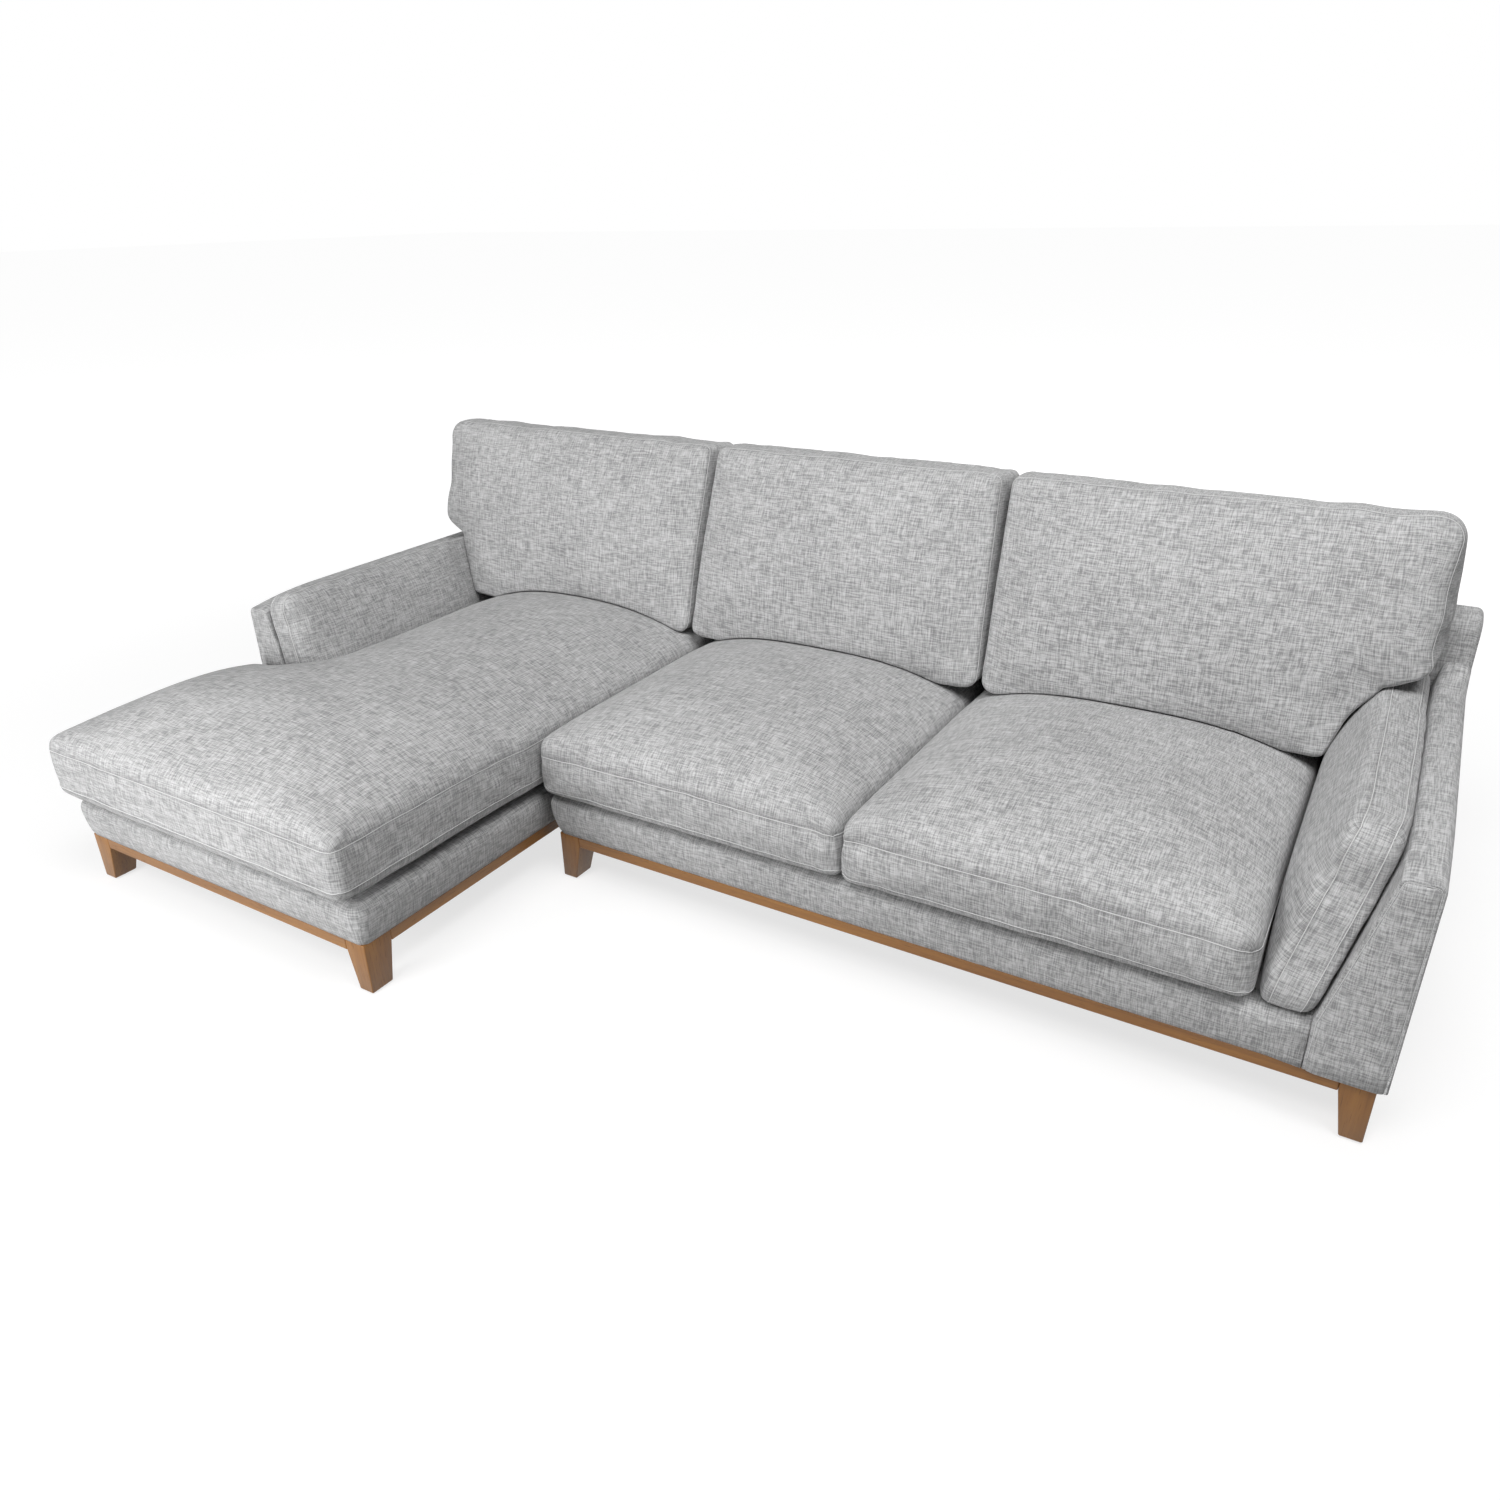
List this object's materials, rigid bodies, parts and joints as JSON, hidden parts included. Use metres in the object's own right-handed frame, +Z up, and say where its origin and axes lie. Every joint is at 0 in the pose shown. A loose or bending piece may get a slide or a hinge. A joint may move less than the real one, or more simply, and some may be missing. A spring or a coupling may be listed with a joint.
{
  "type": "corner sofa",
  "caption": "L-shaped upholstered sofa with a long chaise on the left, slanted padded arms, loose boxed seat and back cushions, and a wooden plinth on tapered legs.",
  "frame": {"origin": "on the floor, under the middle of the overall width and depth", "axes": "+X to the right seen from the front, -Y to the front, +Z up"},
  "size_m": [2.75, 1.595, 0.8945],
  "materials": {
    "upholstery": "woven slub cloth, light grey",
    "plinth_wood": "satin lacquer, golden brown oak",
    "frame_timber": "planed, unfinished softwood",
    "board": "bare plywood",
    "webbing": "woven elastic strap",
    "dust_cloth": "thin non-woven cloth",
    "connector_steel": "zinc plated, satin"
  },
  "bodies": {
    "root": {"chaise_leg_front_left": "plinth_wood", "chaise_leg_front_right": "plinth_wood", "chaise_leg_rear_left": "plinth_wood", "chaise_leg_rear_right": "plinth_wood", "chaise_plinth_front": "plinth_wood", "chaise_plinth_rear": "plinth_wood", "chaise_plinth_left": "plinth_wood", "chaise_plinth_right": "plinth_wood", "chaise_frame_front": "frame_timber", "chaise_frame_rear": "frame_timber", "chaise_frame_left": "frame_timber", "chaise_frame_right": "frame_timber", "chaise_frame_middle": "frame_timber", "chaise_webbing": "webbing", "chaise_dust_cover": "dust_cloth", "chaise_deck": "upholstery", "chaise_back_cover": "upholstery", "chaise_back_board": "board", "chaise_arm_cover": "upholstery", "chaise_arm_board": "board", "chaise_arm_pad": "upholstery", "seat_leg_front_left": "plinth_wood", "seat_leg_front_right": "plinth_wood", "seat_leg_rear_left": "plinth_wood", "seat_leg_rear_right": "plinth_wood", "seat_plinth_front": "plinth_wood", "seat_plinth_rear": "plinth_wood", "seat_plinth_left": "plinth_wood", "seat_plinth_right": "plinth_wood", "seat_frame_front": "frame_timber", "seat_frame_rear": "frame_timber", "seat_frame_left": "frame_timber", "seat_frame_right": "frame_timber", "seat_frame_middle": "frame_timber", "seat_webbing": "webbing", "seat_dust_cover": "dust_cloth", "seat_deck": "upholstery", "seat_back_cover": "upholstery", "seat_back_board": "board", "seat_arm_cover": "upholstery", "seat_arm_board": "board", "seat_arm_pad": "upholstery", "chaise_border_front": "upholstery", "chaise_border_left": "upholstery", "chaise_border_right": "upholstery", "seat_border_front": "upholstery", "seat_border_left": "upholstery", "chaise_hook_front": "connector_steel", "chaise_hook_rear": "connector_steel", "seat_catch_front": "connector_steel", "seat_catch_rear": "connector_steel", "chaise_seat_cushion": "upholstery", "seat_cushion_left": "upholstery", "seat_cushion_right": "upholstery", "back_cushion_left": "upholstery", "back_cushion_middle": "upholstery", "back_cushion_right": "upholstery"}
  },
  "joints": []
}
